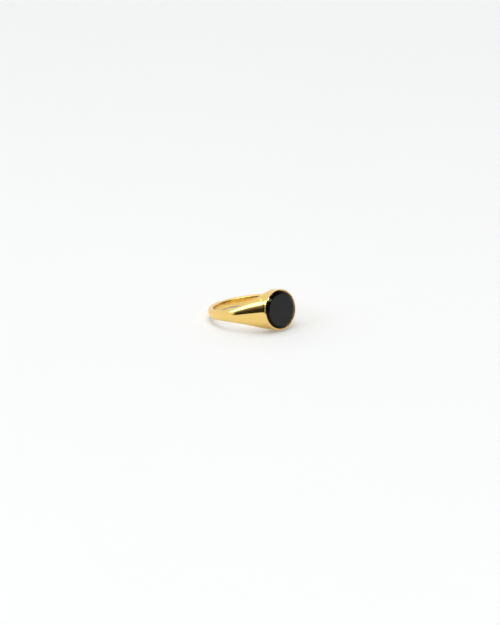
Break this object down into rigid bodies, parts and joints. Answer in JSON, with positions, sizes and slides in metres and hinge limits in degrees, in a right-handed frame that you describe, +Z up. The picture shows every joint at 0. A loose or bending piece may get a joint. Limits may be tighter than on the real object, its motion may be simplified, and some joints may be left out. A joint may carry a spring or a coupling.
{
  "type": "signet ring",
  "caption": "Signet ring lying on its side: tapered gold shank, round head, thin bezel collar and a flat chamfered black onyx tablet.",
  "frame": {"origin": "centre of the footprint on the table, with the ring lying on its side as it rests", "axes": "+X towards the head and stone, +Y across the ring, +Z up from the table; the finger axis leans 11.30 degrees from +Z towards -X"},
  "size_m": [0.022, 0.0198, 0.0099],
  "materials": {
    "polished_gold": "mirror-polished yellow gold with fine hairline scratches",
    "bezel_gold": "burnished yellow gold",
    "setting_cement": "dull cured jeweller's cement",
    "black_onyx": "glossy polished black"
  },
  "bodies": {
    "root": {"shank": "polished_gold", "bezel_collar": "bezel_gold", "cement_bed": "setting_cement", "onyx_tablet": "black_onyx"}
  },
  "joints": []
}
